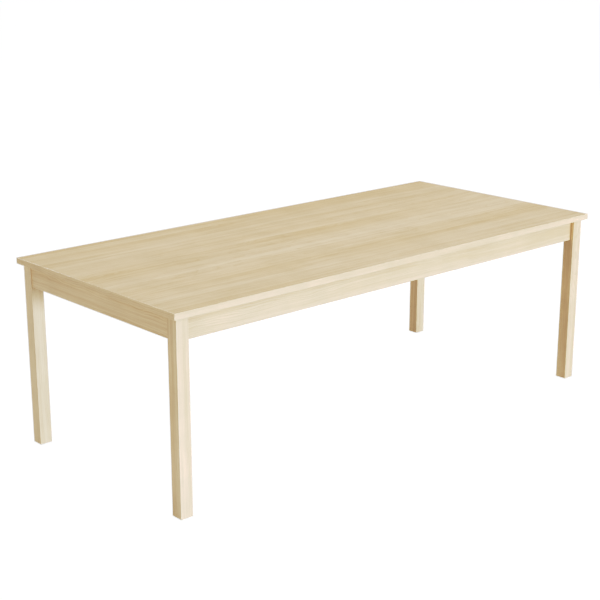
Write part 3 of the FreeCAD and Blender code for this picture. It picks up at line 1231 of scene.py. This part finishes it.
@dataclass
class TableTop:
    """The top: a board core between two veneers, with a solid lipping on each side."""

    effects: Effects
    corner_radius: float = 0.8 * MM
    arris_radius: float = 0.5 * MM
    joint_radius: float = 0.12 * MM
    first_lipping: int = 5

    def build(self) -> None:
        """Builds the lippings and dresses the layers."""
        for number, side in enumerate(Side, self.first_lipping):
            self.lipping(side, number)
        sheets = {"top_face_veneer": FACE_VENEER, "top_backing_veneer": BACKING_VENEER}
        for number, (node, finish) in enumerate(sheets.items()):
            dress(node, finish.material(self.effects, "sheet", *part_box(node), number))
        dress("top_core", PRESSED_CHIPS.material())

    def lipping(self, side: Side, number: int) -> None:
        """Builds the solid lipping of one side.

        Args:
            side: The side.
            number: The lipping's number, for its stretch of figure.
        """
        tag, axis, sign = side.value
        node = tag + "_lipping"
        low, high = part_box(node)
        inner, outer = (low[axis], high[axis]) if sign > 0 else (high[axis], low[axis])
        made = squared_bmesh(low, high)
        if axis == 1:
            ease(made, lambda mid, way: runs(way, 2) and at(mid.y, outer), self.corner_radius, 5)

        def is_outer_arris(mid: Vector, way: Vector) -> bool:
            """Whether an edge runs round the outside of the top or the underside."""
            level = at(mid.z, low.z) or at(mid.z, high.z)
            return level and not at(mid[axis], inner) and not (axis == 0 and runs(way, 0))

        ease(made, is_outer_arris, self.arris_radius, 3)

        def is_joint(mid: Vector, way: Vector) -> bool:
            """Whether an edge lies against the veneer."""
            return at(mid[axis], inner) and at(mid.z, high.z)

        ease(made, is_joint, self.joint_radius, 1)
        finish = LIPPING_ALONG if axis == 1 else LIPPING_ACROSS
        material = finish.material(self.effects, tag, low, high, number)
        settle(to_object(made, "lipping_" + tag), material, node)


@dataclass
class Legs:
    """The four square legs."""

    effects: Effects
    arris_radius: float = 1.0 * MM
    foot_chamfer: float = 1.0 * MM
    flat_depth: float = 6.0 * MM
    flat_length: float = 82.0 * MM
    cutter_width: float = 60.0 * MM
    first_leg: int = 10
    # Board tones with painted shade: the left-hand legs paler and the right-hand legs deeper, as the
    # light falls off towards +X.
    tones_with_painted_shade: tuple[float, ...] = (0.20, 0.56, 0.18, 0.52)

    def build(self) -> None:
        """Builds each leg, each one from a board of its own tone, with painted shade in the tones: the
        right-hand legs deeper, the left-hand legs paler.
        """
        for number, (corner, tone) in enumerate(zip(Corner, self.tones_with_painted_shade), self.first_leg):
            self.leg(corner, tone, number)

    def leg(self, corner: Corner, tone: float, number: int) -> None:
        """Builds one leg, with the stopped flat for its hanger bolt.

        Args:
            corner: The leg's corner.
            tone: The tone of its board, with painted shade in it.
            number: The leg's number, for its stretch of figure.
        """
        node = "leg_" + corner.tag
        low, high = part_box(node)
        made = squared_bmesh(low, high)
        ease(made, lambda mid, way: runs(way, 2), self.arris_radius, 4)
        ease(made, lambda mid, way: at(mid.z, low.z), self.foot_chamfer, 2)
        piece = to_object(made, "leg_of_" + corner.tag)
        carve(piece, [self.flat_cutter(corner, high.z)])
        finish = replace(LEG_UPRIGHT, tone=tone)
        settle(piece, finish.material(self.effects, corner.tag, low, high, number), node)

    def flat_cutter(self, corner: Corner, top: float) -> bpy.types.Object:
        """The wedge that cuts the stopped flat on a leg's inner arris.

        Args:
            corner: The leg's corner.
            top: The height of the leg's top.

        Returns:
            The cutter.
        """
        width = self.cutter_width
        size = Vector((width, width, self.flat_length * 2))
        made = squared_bmesh(-size / 2, size / 2)
        turn = Matrix.Rotation(math.pi / 4, 4, "Z")
        arris = corner.plan_point("leg_" + corner.tag, False)
        middle = arris + corner.inward * (width / 2 - self.flat_depth)
        middle.z = top
        bmesh.ops.transform(made, matrix=Matrix.Translation(middle) @ turn, verts=made.verts)
        return to_object(made, "flat_cutter")


@dataclass
class Rails:
    """The four rails between the legs."""

    effects: Effects
    arris_radius: float = 1.0 * MM
    shoulder_radius: float = 0.12 * MM
    # A deeper board for the front rail, with painted shade of the top's overhang in its tone.
    front_tone_with_shade: float = 0.64

    def build(self) -> None:
        """Builds each rail, each one from its own board."""
        self.rail(Side.FRONT, replace(RAIL_ALONG, tone=self.front_tone_with_shade), 65)
        self.rail(Side.BACK, RAIL_ALONG, 22)
        self.rail(Side.LEFT, RAIL_ACROSS, 47)
        self.rail(Side.RIGHT, RAIL_ACROSS, 24)

    def rail(self, side: Side, finish: TimberFinish, number: int) -> None:
        """Builds one rail.

        Args:
            side: The rail's side of the table.
            finish: The rail's timber.
            number: The rail's number, for its stretch of figure.
        """
        tag, across, _ = side.value
        axis = 1 - across
        node = tag + "_rail"
        low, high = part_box(node)
        made = squared_bmesh(low, high)
        ease(made, lambda mid, way: runs(way, axis) and at(mid.z, low.z), self.arris_radius, 4)

        def is_shoulder(mid: Vector, way: Vector) -> bool:
            """Whether an edge lies against a leg."""
            return at(mid[axis], low[axis]) or at(mid[axis], high[axis])

        ease(made, is_shoulder, self.shoulder_radius, 1)
        material = finish.material(self.effects, tag, low, high, number)
        settle(to_object(made, "rail_" + tag), material, node)


@dataclass
class CornerJoints:
    """What holds each corner: a diagonal block, its screws, and a hanger bolt with washer and nut."""

    effects: Effects
    block_radius: float = 0.8 * MM
    shortest_arris: float = 14.0 * MM
    washer_outer: float = 12.0 * MM
    washer_inner: float = 4.2 * MM
    washer_thickness: float = 2.0 * MM
    nut_across: float = 13.0 * MM
    nut_height: float = 6.5 * MM
    bolt_length: float = 90.0 * MM
    wood_thread_end: float = 42.0 * MM
    machine_thread_start: float = 48.0 * MM
    collar_step: float = 2.0 * MM
    wood_point: float = 6.0 * MM
    first_block: int = 30
    dowel_board: int = 40

    def build(self) -> None:
        """Builds the joints of all four corners."""
        for number, corner in enumerate(Corner, self.first_block):
            self.block(corner, number)
            self.hanger_bolt(corner)
        self.ring_of("bolt_washers", "washers_of_bolts", self.washer(), self.washer_thickness)
        self.ring_of("bolt_nuts", "nuts_of_bolts", self.nut(), self.nut_height)
        drive(COUNTERSUNK, "block_screws", "screws_of_blocks", YELLOW_ZINC, 0.0)
        low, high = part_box("rail_dowels")
        dress("rail_dowels", DOWEL_BEECH.material(self.effects, "pins", low, high, self.dowel_board))

    def block(self, corner: Corner, number: int) -> None:
        """Builds one corner block.

        Args:
            corner: The block's corner.
            number: The block's number, for its stretch of figure.
        """
        node = "corner_block_" + corner.tag
        low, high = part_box(node)
        grain = Grain.FALLING if corner.value[1] == corner.value[2] else Grain.RISING
        made = refined_copy(node, self.block_radius, self.shortest_arris)
        piece = to_object(made, "block_of_" + corner.tag)
        material = BLOCK_BEECH.material(self.effects, corner.tag, low, high, number, grain)
        settle(piece, material, node)

    def hanger_bolt(self, corner: Corner) -> None:
        """Builds one hanger bolt: a wood thread, a plain collar and a machine thread.

        Args:
            corner: The bolt's corner.
        """
        node = "hanger_bolt_" + corner.tag
        wood = Thread(4.0 * MM, 2.9 * MM, 3.2 * MM)
        machine = Thread(4.0 * MM, 3.3 * MM, 1.25 * MM)
        first, last = self.wood_thread_end, self.machine_thread_start
        low, high = first - self.collar_step, last + self.collar_step
        outline = [
            (0.0, low), (2.8 * MM, low), (3.7 * MM, first),
            (3.7 * MM, last), (3.2 * MM, high), (0.0, high),
        ]
        collar = to_mesh(turned_bmesh(outline, 24), "collar")
        tip = wood.rod(-first, 0.0, point=self.wood_point)
        tip.transform(Matrix.Rotation(math.pi, 4, "X"))
        end = machine.rod(last, self.bolt_length, chamfer=0.8 * MM)
        made = joined(tip, collar, end)
        place = aimed(corner.plan_point(node, True), corner.inward)
        bmesh.ops.transform(made, matrix=place, verts=made.verts)
        settle(to_object(made, "bolt_of_" + corner.tag), BRIGHT_ZINC.material(), node)

    def ring_of(self, node: str, name: str, template: bpy.types.Mesh, height: float) -> None:
        """Puts one copy of a mesh on every hanger bolt.

        Args:
            node: The CAD node that the copies replace.
            name: The new piece's name.
            template: The mesh, with its seat at the origin.
            height: How far the mesh reaches along the bolt.
        """
        places = []
        for number, (low, high) in enumerate(solids(node)):
            middle = (low + high) / 2
            signs = (math.copysign(1, -middle.x), math.copysign(1, -middle.y), 0)
            inward = Vector(signs).normalized()
            places.append(aimed(middle - inward * height / 2, inward, 17.0 * number))
        piece = to_object(gather(template, places), name)
        settle(piece, BRIGHT_ZINC.material(), node)

    def washer(self) -> bpy.types.Mesh:
        """Makes a punched washer, with one edge rolled over.

        Returns:
            The mesh, along +Z from its seat.
        """
        outer, inner, top = self.washer_outer, self.washer_inner, self.washer_thickness
        soft = 0.35 * MM
        ring = [
            (inner, 0.0), (outer - 0.1 * MM, 0.0), (outer, 0.1 * MM), (outer, top - soft),
            (outer - 0.3 * soft, top - 0.3 * soft), (outer - soft, top), (inner + 0.2 * MM, top),
            (inner, top - 0.2 * MM),
        ]
        made = swept(ring, 48, closed=True)
        bmesh.ops.recalc_face_normals(made, faces=made.faces)
        smooth_curves(made)
        return to_mesh(made, "washer")

    def nut(self) -> bpy.types.Mesh:
        """Makes a hexagon nut with chamfered corners and a countersunk bore.

        Returns:
            The mesh, along +Z from its seat.
        """
        height = self.nut_height
        reach = self.nut_across / math.sqrt(3)
        made = bmesh.new()
        bmesh.ops.create_cone(
            made, cap_ends=True, segments=6, radius1=reach, radius2=reach, depth=height
        )
        bmesh.ops.translate(made, vec=(0, 0, height / 2), verts=made.verts)
        nut = to_object(made, "nut_blank")
        flat = self.nut_across / 2 - 0.2 * MM
        drop = 0.7 * MM
        barrel = turned_bmesh([
            (0.0, -0.1 * MM), (flat - 0.2 * MM, -0.1 * MM), (reach + 0.2 * MM, drop),
            (reach + 0.2 * MM, height - drop), (flat - 0.2 * MM, height + 0.1 * MM),
            (0.0, height + 0.1 * MM),
        ], 48)
        carve(nut, [to_object(barrel, "nut_barrel")], "INTERSECT")
        bore = turned_bmesh([
            (0.0, -0.2 * MM), (4.5 * MM, -0.2 * MM), (3.4 * MM, 0.8 * MM),
            (3.4 * MM, height - 0.8 * MM), (4.5 * MM, height + 0.2 * MM), (0.0, height + 0.2 * MM),
        ], 32)
        carve(nut, [to_object(bore, "nut_bore")])
        made = joined(nut.data)
        bpy.data.objects.remove(nut)
        bmesh.ops.remove_doubles(made, verts=made.verts, dist=CARVED_GAP)
        smooth_curves(made)
        return to_mesh(made, "nut")


@dataclass
class TopBrackets:
    """The pressed angle brackets that hold the top down on the rails, and their screws."""

    edge_radius: float = 0.25 * MM
    shortest_edge: float = 0.2 * MM

    def build(self) -> None:
        """Builds the brackets and their screws."""
        steel = BRIGHT_ZINC.material()
        brackets = [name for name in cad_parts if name.startswith("bracket_")]
        for node in sorted(name for name in brackets if "screws" not in name):
            made = refined_copy(node, self.edge_radius, self.shortest_edge)
            settle(to_object(made, "angle_" + node), steel, node)
        drive(PAN_HEAD, "bracket_rail_screws", "screws_into_rails", BRIGHT_ZINC, PAN_RISE)
        drive(PAN_HEAD, "bracket_top_screws", "screws_into_top", BRIGHT_ZINC, PAN_RISE)


@dataclass
class Glides:
    """The nail-on glides under the legs."""

    radius: float = 10.0 * MM
    thickness: float = 3.0 * MM
    edge_radius: float = 1.0 * MM
    dish: float = 0.25 * MM
    rim: float = 0.2 * MM

    def build(self) -> None:
        """Builds each glide and dresses the nails."""
        plastic = GLIDE_PLASTIC.material(0.0)
        for corner in Corner:
            self.glide(corner, plastic)
        dress("glide_nails", BRIGHT_ZINC.material())

    def glide(self, corner: Corner, plastic: bpy.types.Material) -> None:
        """Builds one glide, with its rounded sliding edge and its gate mark.

        Args:
            corner: The glide's corner.
            plastic: The glides' material.
        """
        node = "glide_" + corner.tag
        low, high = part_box(node)
        outline = [(0.0, self.dish), (1.6 * MM, self.dish), (2.2 * MM, 0.0)]
        for step in range(6):
            angle = math.radians(18 * step)
            radius = self.radius - self.edge_radius * (1 - math.sin(angle))
            outline.append((radius, self.edge_radius * (1 - math.cos(angle))))
        outline += [
            (self.radius, self.thickness - self.rim), (self.radius - self.rim, self.thickness),
            (0.0, self.thickness),
        ]
        made = turned_bmesh(outline, 40)
        smooth_curves(made)
        middle = (low + high) / 2
        bmesh.ops.translate(made, vec=(middle.x, middle.y, low.z), verts=made.verts)
        settle(to_object(made, "glide_of_" + corner.tag), plastic, node)


WHITE: Colour = (1.0, 1.0, 1.0)
KEY_TINT: Colour = (0.865, 1.015, 1.17)
LEFT_TINT: Colour = (1.03, 1.0, 0.985)


@dataclass(frozen=True)
class Softbox:
    """One soft light: where it hangs, what it faces, its width, its height and its power in watts."""

    name: str
    place: Point
    target: Point
    width: float
    height: float
    power: float
    tint: Colour = WHITE

    def hang(self) -> None:
        """Adds the light to the scene."""
        light = bpy.data.lights.new(self.name, "AREA")
        light.shape, light.size, light.size_y = "RECTANGLE", self.width, self.height
        light.energy, light.color = self.power, self.tint
        lamp = bpy.data.objects.new(self.name, light)
        lamp.location = self.place
        beam = Vector(self.target) - Vector(self.place)
        lamp.rotation_euler = beam.to_track_quat("-Z", "Y").to_euler()
        bpy.context.scene.collection.objects.link(lamp)


@dataclass
class Studio:
    """A plain pale floor, soft lights, the camera and its film response."""

    azimuth: float = -42.128
    elevation: float = 16.28
    distance: float = 4.3
    aim_at: Point = (-0.1010, -0.0065, 0.4012)
    lens: float = 79.05
    film_width: float = 36.0
    sight: tuple[float, float] = (0.1, 100.0)
    floor_size: float = 80.0
    floor_grey: float = 0.62
    surround: float = 0.36
    white: float = 1.10
    floor_glow: float = 1.222
    floor_share: float = 0.88
    response: tuple[tuple[float, float], ...] = (
        (0.10, 0.045),
        (0.20, 0.135),
        (0.30, 0.262),
        (0.45, 0.467),
        (0.66, 0.658),
        (0.95, 0.840),
    )
    lights: tuple[Softbox, ...] = (
        Softbox("key", (5.4, -24.2, 1.8), (0.0, -0.3, 0.4), 6.4, 3.0, 3760.0, KEY_TINT),
        Softbox("sheen", (5.7, -9.2, 0.85), (0.0, -0.3, 0.4), 2.6, 1.4, 190.0),
        Softbox("high_front", (1.5, -6.5, 5.4), (0.0, -0.2, 0.4), 4.0, 3.0, 110.0),
        Softbox("overhead", (0.2, -0.2, 4.4), (0.1, -0.1, 0.5), 3.6, 3.6, 81.0),
        Softbox("left_fill", (-8.8, -2.4, 1.1), (-0.8, 0.0, 0.3), 2.6, 1.6, 168.0, LEFT_TINT),
        Softbox("right_fill", (9.0, 0.8, 1.4), (0.5, 0.0, 0.4), 3.0, 2.2, 330.0),
        Softbox("back_fill", (-1.0, 9.5, 1.4), (0.0, 0.3, 0.4), 3.0, 2.2, 420.0),
    )

    def build(self) -> None:
        """Builds the floor, the surround, the lights and the camera."""
        self.floor()
        self.world()
        for light in self.lights:
            light.hang()
        self.camera()
        self.film()

    def floor(self) -> None:
        """Builds the floor, which the camera sees as a lit white sweep with a trace of shadow."""
        made = bmesh.new()
        bmesh.ops.create_grid(made, x_segments=1, y_segments=1, size=self.floor_size / 2)
        floor = to_object(made, "floor")
        material, tree = blank_material("studio_floor")
        direct = tree.add("LightPath").outputs["Is Camera Ray"]
        share = tree.math("MULTIPLY", direct, self.floor_share)
        grey = self.floor_grey
        diffuse = tree.add("BsdfDiffuse", {"Color": (grey, grey, grey, 1.0)})
        glow = tree.add("Emission", {"Color": (*WHITE, 1.0), "Strength": self.floor_glow})
        both = tree.add("MixShader")
        for socket, value in zip(both.inputs, (share, diffuse.outputs[0], glow.outputs[0])):
            tree.put(socket, value)
        tree.add("OutputMaterial", {"Surface": both.outputs[0]})
        floor.data.materials.append(material)

    def world(self) -> None:
        """Sets a soft even surround, which is white where the camera sees it."""
        world = bpy.data.worlds.new("studio")
        world.use_nodes = True
        bpy.context.scene.world = world
        tree = Tree(world.node_tree)
        direct = tree.add("LightPath").outputs["Is Camera Ray"]
        strength = tree.math("MULTIPLY_ADD", direct, self.white - self.surround, self.surround)
        shade = world.node_tree.nodes["Background"]
        shade.inputs["Color"].default_value = (*WHITE, 1.0)
        tree.put(shade.inputs["Strength"], strength)

    def camera(self) -> None:
        """Sets the camera on the table."""
        data = bpy.data.cameras.new("camera")
        data.lens, data.sensor_width = self.lens, self.film_width
        data.clip_start, data.clip_end = self.sight
        camera = bpy.data.objects.new("camera", data)
        turn, rise = math.radians(self.azimuth), math.radians(self.elevation)
        level = math.cos(rise)
        back = Vector((math.sin(turn) * level, -math.cos(turn) * level, math.sin(rise)))
        camera.location = Vector(self.aim_at) + back * self.distance
        camera.rotation_euler = (-back).to_track_quat("-Z", "Y").to_euler()
        bpy.context.scene.collection.objects.link(camera)
        bpy.context.scene.camera = camera

    def film(self) -> None:
        """Gives the picture a print's tone curve, from pairs of scene light and print light."""
        view = bpy.context.scene.view_settings
        view.view_transform = "Standard"
        view.look = "None"
        view.use_curve_mapping = True
        mapping = view.curve_mapping
        mapping.white_level = (self.white, self.white, self.white)
        combined = mapping.curves[3]
        points = combined.points
        for scene_light, print_light in self.response:
            points.new(scene_light / self.white, print_light)
        mapping.update()


def main() -> None:
    logging.basicConfig(level=logging.INFO, format="%(name)s: %(message)s")
    effects = Effects()
    assemblies = (
        TableTop(effects), Legs(effects), Rails(effects), CornerJoints(effects), TopBrackets(), Glides(),
    )
    for assembly in assemblies:
        assembly.build()
    Studio().build()


if __name__ == "__main__":
    main()
